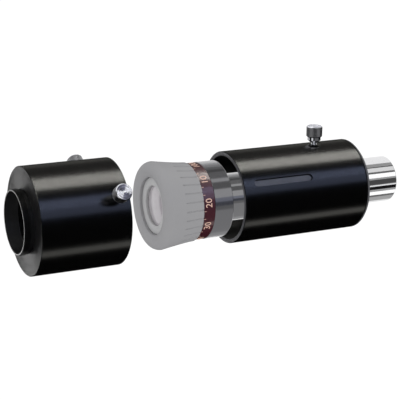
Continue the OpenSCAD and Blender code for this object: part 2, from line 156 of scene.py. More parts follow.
class Recipe:
    """The node tree of a material or a world."""

    def __init__(self, owner):
        owner.use_nodes = True
        self.owner, self.tree = owner, owner.node_tree

    def node(self, kind, settings=None, sockets=None, out=0):
        """Adds one node. Its settings come first, then the values or wires of its sockets."""
        made = self.tree.nodes.new("ShaderNode" + kind)
        for name, value in (settings or {}).items():
            setattr(made, name, value)
        for name, value in (sockets or {}).items():
            self.feed(made.inputs[name], value)
        return Wire(self, made.outputs[out])

    def feed(self, socket, value):
        if isinstance(value, Wire):
            self.tree.links.new(value.socket, socket)
        elif value is not None:
            socket.default_value = value

    def place(self, stretch=(1, 1, 1), turn=(0, 0, 0), shift=(0, 0, 0)):
        """A point's place on the piece, stretched along each axis, turned (in degrees) and shifted."""
        spot = self.node("TexCoord", out="Object")
        turn = tuple(math.radians(angle) for angle in turn)
        sockets = {"Vector": spot, "Scale": stretch, "Rotation": turn, "Location": shift}
        return self.node("Mapping", {}, sockets)

    def noise(self, scale, detail=2.0, stretch=(1, 1, 1)):
        spot = self.place(stretch)
        return self.node("TexNoise", {}, {"Vector": spot, "Scale": scale, "Detail": detail})

    def face_rings(self, turn, shift=(0, 0, 0), pitch=0.0004):
        """Rings of uneven height on an end that was faced on a lathe. The turn brings its axis upright."""
        spot = self.place(turn=turn, shift=shift)
        x, y = (self.node("SeparateXYZ", {}, {"Vector": spot}, out=axis) for axis in "XY")
        radius = (x * x + y * y).root()
        sockets = {"W": radius, "Scale": 1 / pitch, "Detail": 1.0}
        return self.node("TexNoise", {"noise_dimensions": "1D"}, sockets)

    def face_fan(self, turn, shift, phase=0.7, contrast=1.5):
        """Painted highlight and painted shade: bright and dim wedges round a faced end, where its rings would
        throw the light. The turn is as above.
        """
        spot = self.place(turn=turn, shift=shift)
        around = self.node("TexGradient", {"gradient_type": "RADIAL"}, {"Vector": spot})
        wave = self.node("Math", {"operation": "COSINE"}, {0: around * (2 * math.pi * WEDGES) - phase})
        return wave * contrast + 0.5

    def blend(self, first, second, mask):
        return self.node("Mix", {"data_type": "RGBA"}, {0: mask, 6: first, 7: second}, out=2)

    def bump(self, height, depth, strength):
        sockets = {"Height": height, "Distance": depth, "Strength": strength}
        return self.node("Bump", {}, sockets, out="Normal")

    def dress(self, colour, roughness, normal=None):
        """Feeds the shader what changes over the surface, and returns the finished material."""
        for socket, wire in ("Base Color", colour), ("Roughness", roughness), ("Normal", normal):
            self.feed(self.shader.inputs[socket], wire)
        return self.owner


def finish(name, **sockets):
    """A material whose one shader has these values. An underscore in a socket's name stands for a space."""
    recipe = Recipe(bpy.data.materials.new(name))
    shader = next(n for n in recipe.tree.nodes if n.type == "BSDF_PRINCIPLED")
    recipe.shader = shader
    for socket, value in sockets.items():
        recipe.feed(shader.inputs[socket.replace("_", " ")], value)
    print("finish:", name)
    return recipe


print("a recipe has", [name for name in vars(Recipe) if not name.startswith("_")])

# %% [markdown]
# ## Black anodised aluminium
# Anodising gives turned aluminium a thin, hard, black skin that shines like a dark lacquer. The tool marks
# of the lathe stay under it as very fine rings, so the noise is stretched round the axis: it changes fast
# along X and slowly across it. On an end that was faced, the rings lie flat and are deeper. Bores, threads
# and worn edges have the same skin with other numbers.

# %% Mix the black finishes
RING_HEIGHT, TURNED_HEIGHT = 0.0002, 0.00001
DARKER, LIGHTER = (0.75, 0.75, 0.85), (1.5, 1.5, 1.6)
SHEEN_SWING = 0.05


def black_metal(name, grey, roughness, rings, faced=False, gloss=0.5):
    """Rings run round the axis, or lie flat on an end that was faced."""
    recipe = finish(name, IOR=1.5, Specular_IOR_Level=gloss)
    marks = recipe.face_rings((0, -90, 0)) if faced else recipe.noise(60, 2.0, stretch=(40, 0.6, 0.6))
    dust = recipe.noise(220, 4.0)
    dark, light = (tuple(grey * share for share in shares) + (1,) for shares in (DARKER, LIGHTER))
    return recipe.dress(
        recipe.blend(dark, light, dust),
        (dust + marks - 1.0) * SHEEN_SWING + roughness,
        recipe.bump(marks, RING_HEIGHT if faced else TURNED_HEIGHT, rings),
    )


BLACK_ANODISED = black_metal("black_anodised_skin", 0.0009, 0.21, 0.012)
BLACK_SATIN = black_metal("black_satin_skin", 0.003, 0.42, 0.1, gloss=0.12)
# A shade paler than the satin skin, to paint a faint gleam inside the neck's bore.
BORE_PAINTED_GLEAM = black_metal("bore_painted_gleam", 0.007, 0.4, 0.1, gloss=0.3)
BLACK_FACE = black_metal("black_turned_face", 0.008, 0.3, 1.0, faced=True)
# Paler greys that paint the groove floor's reflection and the rims' highlight.
GROOVE_PAINTED_REFLECTION = black_metal("groove_floor_painted_reflection", 0.042, 0.3, 0.05)
RIM_PAINTED_HIGHLIGHT = black_metal("rim_painted_highlight", 0.07, 0.3, 1.0, faced=True, gloss=0.15)
print("the black finishes share marks", TURNED_HEIGHT, "and rings", RING_HEIGHT, "m deep")

# %% [markdown]
# ## Chrome and silver
# Polished chrome is a mirror with the faintest haze of handling. The thumbscrews are plated but not
# polished, and the eyepiece's body is a darker satin plate, whose dark tint also paints the shade it lies in
# inside the tube. They are one recipe with other numbers. The end of a screw was faced on a lathe, and its
# rings throw the light into bright and dim wedges. There the tint follows a painted fan of these wedges,
# which is painted highlight and painted shade, and not the smudges.

# %% Mix the bright finishes
BLUE_KEPT = 0.15


def bright_metal(name, tint, roughness, haze, rings, faced=None, dim=0.94):
    """Rings run round the X axis, or lie flat on a screw's end, at the x and angle where that screw stands.
    Where the metal is tarnished, and in the painted shade between a faced end's painted bright wedges, its
    tint sinks to the share called dim, with a little blue kept."""
    recipe = finish(name, Metallic=1.0)
    smudge = tarnish_and_wedge_shade = recipe.noise(90, 4.0)
    if faced:
        turn, shift = (-faced[1], 0, 0), (-faced[0] * MM, 0, 0)
        marks = recipe.face_rings(turn, shift)
        # On a faced end the tint follows painted wedges of highlight and shade instead of tarnish.
        tarnish_and_wedge_shade = 1 - recipe.face_fan(turn, shift)
    else:
        marks = recipe.noise(50, 2.0, stretch=(36, 0.5, 0.5))
    red, green, blue = tint[:3]
    dim_tint = (red * dim, green * dim, blue * (dim + (1 - dim) * BLUE_KEPT), 1)
    return recipe.dress(
        recipe.blend(tint, dim_tint, tarnish_and_wedge_shade),
        (smudge - 0.5) * haze + roughness,
        recipe.bump(marks, RING_HEIGHT if faced else TURNED_HEIGHT, rings),
    )


CHROME = bright_metal("mirror_chrome", (0.93, 0.93, 0.94, 1), 0.06, 0.05, 0.02)
SCREW_CHROME = bright_metal("turned_chrome", (0.72, 0.73, 0.77, 1), 0.12, 0.08, 0.03)
# The body's dark tint is partly its satin plate and partly painted shade of the tube it lies in.
SILVER_AND_PAINTED_SHADE = bright_metal("dark_satin_chrome_and_painted_shade", (0.36, 0.36, 0.375, 1), 0.13, 0.06, 0.03)
# Dark, which is partly dirt in the knurl and partly painted shade in its grooves.
KNURL_DIRT_AND_SHADE = bright_metal("knurled_metal", (0.24, 0.24, 0.25, 1), 0.3, 0.1, 0.05)
# A lit copy of the knurl's metal, which paints the full light on the back screw.
KNURL_PAINTED_LIGHT = bright_metal("light_knurled_metal", (0.55, 0.55, 0.56, 1), 0.2, 0.1, 0.05)
# A darker chrome that paints the shade the barrel lies in inside the tube.
BARREL_CHROME_PAINTED_SHADE = bright_metal("barrel_chrome_painted_shade", (0.42, 0.42, 0.43, 1), 0.1, 0.06, 0.03)
# A paler metal that paints the highlight on the neck's tip.
TIP_PAINTED_HIGHLIGHT = bright_metal("tip_painted_highlight", (0.26, 0.26, 0.26, 1), 0.3, 0.1, 0.05)
print("what is dim keeps a share", BLUE_KEPT, "of its blue")

# %% [markdown]
# ## Rubber
# The eyecup is grey rubber. The grain of its mould is too fine to see, but it breaks up the gloss, so it
# feeds the roughness and a shallow bump. A second, wide noise clouds the grey a little, as handling does.

# %% Mix the rubber
rubber = finish("moulded_grey_rubber", Specular_IOR_Level=0.1)
mould_grain = rubber.noise(1500, 4.0)
RUBBER = rubber.dress(
    rubber.blend((0.285, 0.284, 0.294, 1), (0.308, 0.306, 0.314, 1), rubber.noise(45, 3.0)),
    mould_grain * 0.2 + 0.5,
    rubber.bump(mould_grain, 0.00006, 0.4),
)
print("rubber has", len(rubber.tree.nodes), "nodes")

# %% [markdown]
# ## Lacquer, paint, nylon and glass
# The label ring is maroon lacquer under a clear coat, with pale marks. The screws press with soft nylon
# tips. The eye lens is coated glass, which throws back a faint pink, behind a pale retaining ring. None has
# a grain that shows, so in all of them one fine noise moves both the colour and the roughness.

# %% Mix the speckled finishes


def speckled(name, noise, dark, light, swing, roughness, **sockets):
    """A finish whose colour and roughness follow one noise, which is given as its scale and detail."""
    recipe = finish(name, **sockets)
    speck = recipe.noise(*noise)
    return recipe.dress(recipe.blend((*dark, 1), (*light, 1), speck), speck * swing + roughness)


LACQUER = speckled(
    "maroon_gloss", (900, 3.0), (0.045, 0.006, 0.012), (0.075, 0.010, 0.020), 0.15, 0.3,
    Coat_Weight=0.6, Coat_Roughness=0.08,
)
PAINT = speckled("pale_paint", (1200, 2.0), (0.60, 0.36, 0.28), (0.78, 0.52, 0.42), 0.2, 0.45)
NYLON = speckled(
    "natural_nylon", (700, 3.0), (0.70, 0.68, 0.60), (0.84, 0.82, 0.76), 0.2, 0.35,
    Subsurface_Weight=0.1, Subsurface_Scale=0.001,
)
RETAINER_GREY = speckled(
    "pale_retainer", (1800, 3.0), (0.37, 0.37, 0.375), (0.41, 0.41, 0.415), 0.2, 0.4, Specular_IOR_Level=0.3,
)
GLASS = speckled(
    "coated_lens_glass", (70, 2.0), (0.62, 0.58, 0.62), (0.70, 0.66, 0.70), 0.03, 0.02,
    IOR=1.62, Transmission_Weight=0.45, Coat_Weight=0.4, Coat_Roughness=0.02,
)
print("finishes so far:", len(bpy.data.materials))

# %% [markdown]
# ## Camera
# The photograph looks down on the adapter from its camera end, with a long lens and a slight tilt. The
# place and turn were worked out from the ellipses of the turned rims.

# %% Set up the camera
CAMERA_SPOT = (-0.46959, -0.714929, 0.22802)
CAMERA_TURN = (74.0683, -0.8818, -26.1541)
SENSOR_WIDTH, LENS_LENGTH = 36, 112.49
bpy.ops.object.camera_add(location=CAMERA_SPOT, rotation=[math.radians(a) for a in CAMERA_TURN])
camera = bpy.context.object
camera.name = "camera"
camera.data.sensor_width = SENSOR_WIDTH
camera.data.lens = LENS_LENGTH
bpy.context.scene.camera = camera
print("camera looks along", [round(x, 3) for x in -camera.matrix_world.to_3x3().col[2]])

# %% [markdown]
# ## Drawing a section and spinning it
# Nearly every part was made on a lathe, so it can be made the same way here. A single vertex is extruded
# along the outline of the part's cut section, and the outline is spun round the X axis. Doubles at the seam
# are merged, and the normals are made to point outwards.

# %% Make the lathe
MERGE = 1e-6


def deselect():
    if bpy.context.mode != "OBJECT":
        bpy.ops.object.mode_set(mode="OBJECT")
    bpy.ops.object.select_all(action="DESELECT")


def take(piece):
    """Makes a piece the only one selected, and the active one."""
    deselect()
    bpy.context.view_layer.objects.active = piece
    piece.select_set(True)


def draw(name, points, closed=True):
    """A wire outline through points (x, y, z) in millimetres, extruded vertex by vertex."""
    deselect()
    start = Vector(points[0]) * MM
    bpy.ops.mesh.primitive_plane_add(size=MM, location=start)
    piece = bpy.context.object
    piece.name = piece.data.name = name
    bpy.ops.object.mode_set(mode="EDIT")
    bpy.ops.mesh.select_mode(type="VERT")
    bpy.ops.mesh.select_all(action="SELECT")
    bpy.ops.mesh.merge(type="CENTER")
    path = [Vector(p) * MM for p in points] + ([start] if closed else [])
    for here, there in zip(path, path[1:]):
        bpy.ops.mesh.extrude_region_move(TRANSFORM_OT_translate={"value": there - here})
    bpy.ops.mesh.select_all(action="SELECT")
    bpy.ops.mesh.remove_doubles(threshold=MERGE)
    bpy.ops.object.mode_set(mode="OBJECT")
    bpy.ops.object.transform_apply(location=True, rotation=True, scale=True)
    return piece


def spin(piece, steps, turn=360):
    """Spins a piece's outline round the X axis."""
    take(piece)
    bpy.ops.object.mode_set(mode="EDIT")
    bpy.ops.mesh.select_all(action="SELECT")
    bpy.ops.mesh.spin(steps=steps, angle=math.radians(turn), center=(0, 0, 0), axis=(1, 0, 0))
    bpy.ops.mesh.select_all(action="SELECT")
    bpy.ops.mesh.remove_doubles(threshold=MERGE)
    bpy.ops.mesh.normals_make_consistent(inside=False)
    bpy.ops.object.mode_set(mode="OBJECT")
    return piece


def turned(name, outline, steps=144, closed=True):
    """A lathe part from an outline of (x, radius) pairs in millimetres."""
    return spin(draw(name, [(x, 0, r) for x, r in outline], closed), steps)


print("the lathe closes seams under", MERGE / MM, "mm")

# %% [markdown]
# ## Breaking edges and shading
# No real edge is quite sharp: each has a hair-thin bevel that catches the light, and without it metal looks
# like paper. A Bevel modifier rounds only what is sharp, and weighted normals keep the large faces flat.

# %% Make the finishing tools


def apply(piece, kind, **settings):
    """Adds a modifier and applies it."""
    modifier = piece.modifiers.new(kind.lower(), kind)
    for name, value in settings.items():
        setattr(modifier, name, value)
    take(piece)
    bpy.ops.object.modifier_apply(modifier=modifier.name)
    return piece


def soften(piece, width=0.12, segments=2, corner=30):
    """Rounds the sharp edges of a piece by a hair, so that they catch the light."""
    return apply(
        piece, "BEVEL", width=width * MM, segments=segments, limit_method="ANGLE",
        angle_limit=math.radians(corner), use_clamp_overlap=True,
    )


def shade(piece, corner=35):
    """Smooth shading that keeps large faces flat and sharp corners sharp."""
    take(piece)
    bpy.ops.object.shade_smooth_by_angle(angle=math.radians(corner))
    return apply(piece, "WEIGHTED_NORMAL", keep_sharp=True)


print("edges are rounded by", soften.__defaults__[0], "mm")

# %% [markdown]
# ## Cutters that point out from the axis
# Holes and grooves are cut with tools of their true shape. A tool is made along X, where it is easy to
# think about, and is then stood up at its place and angle. The same move places a finished screw.

# %% Make the milling tools
BAR_STEPS = 48


def cut(piece, *tools):
    """Takes the tools' volumes out of a piece."""
    for tool in tools:
        apply(piece, "BOOLEAN", operation="DIFFERENCE", solver="EXACT", object=tool)
        bpy.data.objects.remove(tool)


def select_edges(piece, wanted):
    """Goes into edit mode with only the edges selected whose two ends pass a test."""
    bpy.context.view_layer.objects.active = piece
    bpy.ops.object.mode_set(mode="EDIT")
    bpy.ops.mesh.select_mode(type="EDGE")
    bpy.ops.mesh.select_all(action="DESELECT")
    bpy.ops.object.mode_set(mode="OBJECT")
    for edge in piece.data.edges:
        edge.select = wanted(edge, *(piece.data.vertices[i].co for i in edge.vertices))
    bpy.ops.object.mode_set(mode="EDIT")


def resize(piece, *scale):
    """Goes into edit mode, scales what is selected there and comes back."""
    bpy.context.view_layer.objects.active = piece
    bpy.ops.object.mode_set(mode="EDIT")
    bpy.ops.transform.resize(value=scale)
    bpy.ops.object.mode_set(mode="OBJECT")


def place_radially(piece, x, angle):
    """Turns a tool or screw made along +X so that it points out from the axis at x and at that angle, and
    keeps that place in its mesh."""
    stand_up = Matrix.Rotation(math.radians(-90), 4, "Y")
    swing = Matrix.Rotation(math.radians(angle), 4, "X")
    piece.data.transform(Matrix.Translation((x * MM, 0, 0)) @ swing @ stand_up)
    return piece


def radial_bar(name, x, angle, radius, low, high):
    """A round bar from radius low to radius high, pointing out from the axis."""
    bar = turned(name, [(low, 0), (low, radius), (high, radius), (high, 0)], BAR_STEPS, closed=False)
    return place_radially(bar, x, angle)


print("cutters stand at", GROOVE_ANGLE, "and", BACK_ANGLE, "degrees")

# %% [markdown]
# ## Handing a piece over
# A finished piece gets its finish, the body that it moves with and the CAD parts that it stands for. Where a
# piece has more than one finish, a test on each face picks the one that it shows.

# %% Make the tools that settle a piece


def join(*pieces):
    """Joins pieces into the first of them."""
    deselect()
    for piece in pieces:
        piece.select_set(True)
    bpy.context.view_layer.objects.active = pieces[0]
    bpy.ops.object.join()
    return pieces[0]


def settle(piece, body, slot, material, *nodes):
    """Gives a finished piece its finish, its body, and the CAD parts that it stands for."""
    piece.data.materials.clear()
    for each in material if isinstance(material, (list, tuple)) else [material]:
        piece.data.materials.append(each)
    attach(piece, body)
    if nodes:
        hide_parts(*nodes)
    size = [round((high - low) / MM, 1) for low, high in zip(*box_of(piece))]
    print(f"{piece.name}: {len(piece.data.polygons)} faces, {size} mm, rides on {body}")


def box_of(piece):
    corners = [v.co for v in piece.data.vertices]
    return [min(c[i] for c in corners) for i in range(3)], [max(c[i] for c in corners) for i in range(3)]


def outward(face):
    """How far a face looks away from the X axis: 1 is straight out and -1 straight in."""
    return face.normal.dot(Vector((0, face.center.y, face.center.z)).normalized())


def give_faces(piece, finish_of):
    """Gives each face the finish whose number the test returns."""
    for face in piece.data.polygons:
        face.material_index = finish_of(face)


# %% [markdown]
# ## Screw threads
# A thread is one triangle that winds round the axis and moves on by its pitch with each turn. The Screw
# modifier does exactly that with a small triangle that stands on the core, and the two open ends are filled.

# %% Make the thread cutter
THREAD_SINK, THREAD_FLANK = 0.06, 0.48


def thread(name, start, length, pitch, root, crest, steps=72):
    """A helical ridge along +X from start, on a core of radius root. A crest below the root winds inside."""
    turns = length / pitch - 1
    foot = root - math.copysign(THREAD_SINK, crest - root)
    half = pitch * THREAD_FLANK
    ridge = draw(name, [(start, 0, foot), (start + 2 * half, 0, foot), (start + half, 0, crest)])
    apply(
        ridge, "SCREW", axis="X", angle=2 * math.pi * turns, screw_offset=pitch * MM * turns,
        steps=round(steps * turns), render_steps=round(steps * turns), use_merge_vertices=False,
        use_normal_calculate=True,
    )
    take(ridge)
    bpy.ops.object.mode_set(mode="EDIT")
    bpy.ops.mesh.select_all(action="SELECT")
    bpy.ops.mesh.fill_holes(sides=4)
    bpy.ops.mesh.normals_make_consistent(inside=False)
    bpy.ops.object.mode_set(mode="OBJECT")
    return ridge


print("a thread's flank is", THREAD_FLANK, "of its pitch")

# %% [markdown]
# ## The projection tube
# The real tube is a length of turned pipe with a bevel at its rear edge, a fine seam in front of that bevel
# and a seat inside for the eyepiece holder. All of it is one outline, so it is spun in one go.

# %% Turn the projection tube
SEAM, SEAM_MOUTH, SEAM_FLOOR, SEAM_DEPTH = -2.5, 0.4, 0.3, 0.6
REAR_BEVEL, SEAT_RADIUS, SEAT_LENGTH = 1.2, 28.8, 5
tube = turned("tube_shell", [
    (MOUTH + EDGE, TUBE_BORE), (MOUTH, TUBE_BORE + EDGE), (MOUTH, TUBE_RADIUS - EDGE),
    (MOUTH + EDGE, TUBE_RADIUS), (SEAM - SEAM_MOUTH, TUBE_RADIUS),
    (SEAM - SEAM_FLOOR, TUBE_RADIUS - SEAM_DEPTH), (SEAM + SEAM_FLOOR, TUBE_RADIUS - SEAM_DEPTH),
    (SEAM + SEAM_MOUTH, TUBE_RADIUS), (-REAR_BEVEL, TUBE_RADIUS), (0, TUBE_RADIUS - REAR_BEVEL),
    (0, SEAT_RADIUS), (-SEAT_LENGTH, SEAT_RADIUS), (-SEAT_LENGTH, TUBE_BORE),
], 192)
soften(tube)
print("the tube has", len(tube.data.polygons), "faces")

# %% [markdown]
# ## The tube's groove
# A blind groove is milled in the tube's side for the tip of the sleeve's screw. Its ends are round and its
# walls slant, so that the upper one shows as a dark line. The cutter starts as a cube: its upright edges are
# bevelled until they meet, and the loop at its bottom is drawn in.

# %% Shape the groove's cutter
GROOVE_START, GROOVE_LENGTH, GROOVE_WIDTH, GROOVE_DEPTH = 8.0, 44.0, 4.2, 1.7
TOP_LENGTH, TOP_WIDTH = GROOVE_LENGTH + 0.6, GROOVE_WIDTH + 1.46
FLOOR_LENGTH, FLOOR_WIDTH = GROOVE_LENGTH - 0.4, GROOVE_WIDTH - 0.3
CUTTER_HEIGHT = 3
deselect()
bpy.ops.mesh.primitive_cube_add(size=MM)
slot_tool = bpy.context.object
resize(slot_tool, TOP_LENGTH, TOP_WIDTH, CUTTER_HEIGHT)
select_edges(slot_tool, lambda edge, a, b: abs(a.z - b.z) > MM)
bpy.ops.mesh.bevel(offset=TOP_WIDTH / 2 * MM * 0.999, segments=12, affect="EDGES")
bpy.ops.object.mode_set(mode="OBJECT")
select_edges(slot_tool, lambda edge, a, b: max(a.z, b.z) < 0)
resize(slot_tool, FLOOR_LENGTH / TOP_LENGTH, FLOOR_WIDTH / TOP_WIDTH, 1)
slot_place = Matrix.Translation(((MOUTH + GROOVE_START + GROOVE_LENGTH / 2) * MM, 0, 0))
slot_lift = Matrix.Translation((0, 0, (TUBE_RADIUS - GROOVE_DEPTH + CUTTER_HEIGHT / 2) * MM))
slot_tool.data.transform(slot_place @ Matrix.Rotation(math.radians(GROOVE_ANGLE), 4, "X") @ slot_lift)
print("the groove's floor is", round(FLOOR_WIDTH, 2), "mm wide")

# %% [markdown]
# ## Milling and finishing the tube
# A flat is spot-faced under the tube's own thumbscrew, whose hole goes through it. The groove's milled floor
# is a little paler, which paints the brighter reflection of its flat floor, and the rims at both ends are
# paler, which paints the highlight that they catch. The bore and the walls of the cuts are dull, so that the
# strips of light show on the round skin alone. Pulled apart, the tube would darken what its neighbours
# reflect, so it is hidden from them.

# %% Mill the tube and finish its faces
SPOT_RADIUS, SPOT_DEPTH, HOLE_RADIUS, TOOL_SPARE = 4.85, 0.5, 2.05, 2


def drill(x, angle, inside, outside):
    """A drill for a screw's hole through a wall between two radii."""
    return radial_bar("hole_tool", x, angle, HOLE_RADIUS, inside - TOOL_SPARE, outside + TOOL_SPARE)


spot_tool = radial_bar(
    "spot_tool", TUBE_SCREW_X, 0, SPOT_RADIUS, TUBE_RADIUS - SPOT_DEPTH, TUBE_RADIUS + TOOL_SPARE
)
cut(tube, slot_tool, spot_tool, drill(TUBE_SCREW_X, 0, TUBE_BORE, TUBE_RADIUS))
shade(tube)
settle(tube, "tube", "black_anodised", [BLACK_ANODISED, RIM_PAINTED_HIGHLIGHT, GROOVE_PAINTED_REFLECTION, BLACK_SATIN], "projection_tube")
tube.visible_glossy = False
out_of_groove = Matrix.Rotation(math.radians(GROOVE_ANGLE), 3, "X") @ Vector((0, 0, 1))


def tube_finish(face):
    """0 is the anodised skin, 1 a rim with a painted highlight, 2 the groove's floor with a painted
    reflection, and 3 a dull wall.
    """
    x, radius = face.center.x / MM, math.hypot(face.center.y, face.center.z) / MM
    beside_groove = abs(face.center.cross(out_of_groove).x) / MM
    height = face.center.dot(out_of_groove) / MM
    at_floor = beside_groove < GROOVE_WIDTH and abs(height - TUBE_RADIUS + GROOVE_DEPTH) < 0.1
    front_rim = x < MOUTH + 1 and abs(face.normal.x) > 0.5 and outward(face) < 0.5
    rear_rim = x > SEAM + SEAM_MOUTH and radius > SEAT_RADIUS + 0.1
    in_a_cut = x < SEAM + 1 and radius < TUBE_RADIUS - 0.02 and outward(face) < 0.99
    if at_floor and face.normal.dot(out_of_groove) > 0.99:
        return 2
    if front_rim or rear_rim:
        return 1
    return 3 if outward(face) < -0.5 or in_a_cut or abs(x - SEAM) < SEAM_MOUTH - 0.05 else 0


give_faces(tube, tube_finish)

# %% [markdown]
# ## The nosepiece
# The chromed nosepiece slides into a telescope's 1.25 inch holder. Its free end has a fine internal thread
# for filters, which shows from behind. The eyepiece's barrel has the same form, so one function makes both.

# %% Turn the nosepiece
FILTER_ROOT, FILTER_CREST, FILTER_PITCH, RECESS, RECESS_THREAD = 14.3, 14.02, 0.6, 5, 4.6


def holder_barrel(name, start, seat, end, plug, bore, chamfer, *edge):
    """A barrel with a plug from start to its seat, and a recess with a filter thread at its other end."""
    barrel = turned(name, [
        (start, bore), (start, plug), (seat, plug), (seat, BARREL_RADIUS), (end - chamfer, BARREL_RADIUS),
        (end, BARREL_RADIUS - chamfer), (end, FILTER_ROOT), (end - RECESS, FILTER_ROOT), (end - RECESS, bore),
    ])
    shade(soften(barrel, *edge))
    start = end - RECESS + 0.1
    ridge = thread("filter_thread", start, RECESS_THREAD, FILTER_PITCH, FILTER_ROOT, FILTER_CREST)
    return join(barrel, shade(ridge))


# Radius of the plug, radius of the bore, and chamfer.
NOSE_SIZES = 14.9, 13.4, 0.8
nose = holder_barrel("nosepiece_barrel", NOSE_START, 0, NOSE_END, *NOSE_SIZES, 0.2, 3)
settle(nose, "tube", "polished_chrome", CHROME, "nosepiece")

# %% [markdown]
# ## The camera sleeve
# The sleeve is a turned cup with an open end that slides over the tube, and an end wall that carries the
# neck. It is spun like the tube, and drilled for its two screws. Its end wall was faced and has flat rings.
# It lies close before the eyepiece, so it is hidden from soft light and casts no grey on it.

# %% Turn the camera sleeve
END_WALL, LEDGE, NECK_FIT = 4, 1.2, 0.05
inner_face = SLEEVE_FACE + END_WALL
sleeve = turned("sleeve_shell", [
    (SLEEVE_FACE, NECK_ROOT + NECK_FIT), (SLEEVE_FACE, SLEEVE_RADIUS - EDGE),
    (SLEEVE_FACE + EDGE, SLEEVE_RADIUS), (SLEEVE_OPEN - EDGE, SLEEVE_RADIUS),
    (SLEEVE_OPEN, SLEEVE_RADIUS - EDGE), (SLEEVE_OPEN, SLEEVE_BORE + EDGE),
    (SLEEVE_OPEN - EDGE, SLEEVE_BORE), (inner_face, SLEEVE_BORE), (inner_face, NECK_BORE),
    (inner_face - LEDGE, NECK_BORE), (inner_face - LEDGE, NECK_ROOT + NECK_FIT),
], 192)
soften(sleeve)
for angle in (GROOVE_ANGLE, BACK_ANGLE):
    cut(sleeve, drill(SLEEVE_SCREW_X, angle, SLEEVE_BORE, SLEEVE_RADIUS))
shade(sleeve)
settle(sleeve, "sleeve", "black_anodised", [BLACK_ANODISED, BLACK_FACE], "camera_sleeve")
sleeve.visible_diffuse = False


def sleeve_finish(face):
    """0 is the anodised skin and 1 the faced end."""
    return 1 if face.normal.x < -0.9 and face.center.x < (SLEEVE_FACE + 1) * MM else 0


give_faces(sleeve, sleeve_finish)

# %% [markdown]
# ## The neck
# The neck is a ring of its own, screwed into the sleeve's wall, with a 42 mm thread of 0.75 mm pitch and an
# undercut behind it. Its tip is a paler metal, which paints the highlight its rim catches, and its bore is a
# shade paler than its thread, which paints a faint gleam inside.

# %% Turn the neck and cut its thread
NECK_CREST, NECK_CORE, NECK_EDGE = NECK_RADIUS - 0.02, NECK_RADIUS - 0.42, NECK_RADIUS - 0.45
THREAD_START, THREAD_LENGTH, NECK_PITCH = NECK_TIP + 0.15, 4.2, 0.75
UNDERCUT, UNDERCUT_SLOPE = SLEEVE_FACE - 2, 0.5
neck = turned("camera_neck", [
    (NECK_TIP, NECK_BORE), (NECK_TIP, NECK_EDGE), (THREAD_START, NECK_CORE), (UNDERCUT, NECK_CORE),
    (UNDERCUT + UNDERCUT_SLOPE, NECK_ROOT), (NECK_SEAT, NECK_ROOT), (NECK_SEAT, NECK_BORE),
])
soften(neck, 0.08)
shade(neck)
neck_thread = thread("neck_thread", THREAD_START, THREAD_LENGTH, NECK_PITCH, NECK_CORE, NECK_CREST)
shade(neck_thread, 20)
join(neck, neck_thread)
settle(neck, "sleeve", "black_satin", [BLACK_SATIN, TIP_PAINTED_HIGHLIGHT, BORE_PAINTED_GLEAM], "camera_thread_ring")


def neck_finish(face):
    """0 is the satin skin, 1 the tip with a painted highlight and 2 the bore with a painted gleam."""
    return 1 if face.center.x < (NECK_TIP + 0.05) * MM else 2 if outward(face) < -0.5 else 0


give_faces(neck, neck_finish)

# %% [markdown]
# ## The knurl
# Each screw's head has a diamond knurl, which fingers grip. A diamond knurl is a grid turned by 45 degrees:
# the side of a cylinder is poked and its first edges are dissolved, which leaves diamonds, and a second poke
# lifts each diamond to a point. Unlike a bump, this knurl is there in the mesh.

# %% Model a band of knurl
HEAD_RADIUS, HEAD_HEIGHT, HEAD_BEVEL = 5.5, 7.5, 0.6
KNURL_SIDES, KNURL_ROWS, KNURL_DEPTH = 40, 7, 0.22


def knurl(low, high):
    """A diamond-knurled band along +X."""
    deselect()
    bpy.ops.mesh.primitive_cylinder_add(
        vertices=KNURL_SIDES, radius=(HEAD_RADIUS - KNURL_DEPTH) * MM, depth=(high - low) * MM,
        end_fill_type="NOTHING", location=((low + high) / 2 * MM, 0, 0), rotation=(0, math.radians(90), 0),
    )
    band = bpy.context.object
    bpy.ops.object.transform_apply(location=True, rotation=True, scale=True)
    select_edges(band, lambda edge, a, b: abs(a.x - b.x) > MM)
    bpy.ops.mesh.subdivide(number_cuts=KNURL_ROWS - 1)
    bpy.ops.mesh.select_all(action="SELECT")
    bpy.ops.mesh.normals_make_consistent(inside=False)
    bpy.ops.mesh.mark_sharp()
    bpy.ops.mesh.poke()
    bpy.ops.object.mode_set(mode="OBJECT")
    select_edges(band, lambda edge, a, b: edge.use_edge_sharp)
    bpy.ops.mesh.mark_sharp(clear=True)
    bpy.ops.mesh.dissolve_edges(use_verts=False)
    bpy.ops.mesh.select_all(action="SELECT")
    bpy.ops.mesh.poke(offset=KNURL_DEPTH * MM)
    bpy.ops.object.mode_set(mode="OBJECT")
    return band


print("a knurl has", KNURL_SIDES, "by", KNURL_ROWS, "diamonds")

# %% [markdown]
# ## One thumbscrew
# A head with bevelled rims and a small centre mark stands on a plain collar with a bevelled foot, and a
# threaded shank goes down from there. All but the knurl and the thread is one spun outline.

# %% Model one thumbscrew
COLLAR_RADIUS, COLLAR_HEIGHT, FOOT_RADIUS, FOOT_HEIGHT = 4.45, 3.5, 3.0, 1.2
SHANK_RADIUS, SHANK_CORE, SHANK_PITCH = 2.0, 1.7, 0.7
CENTRE_RADIUS, CENTRE_DEPTH = 0.8, 0.55
HEAD_RIM, HEAD_STEP = HEAD_RADIUS - HEAD_BEVEL, HEAD_RADIUS - 0.1
HEAD_CORE = HEAD_RADIUS - KNURL_DEPTH - 0.05


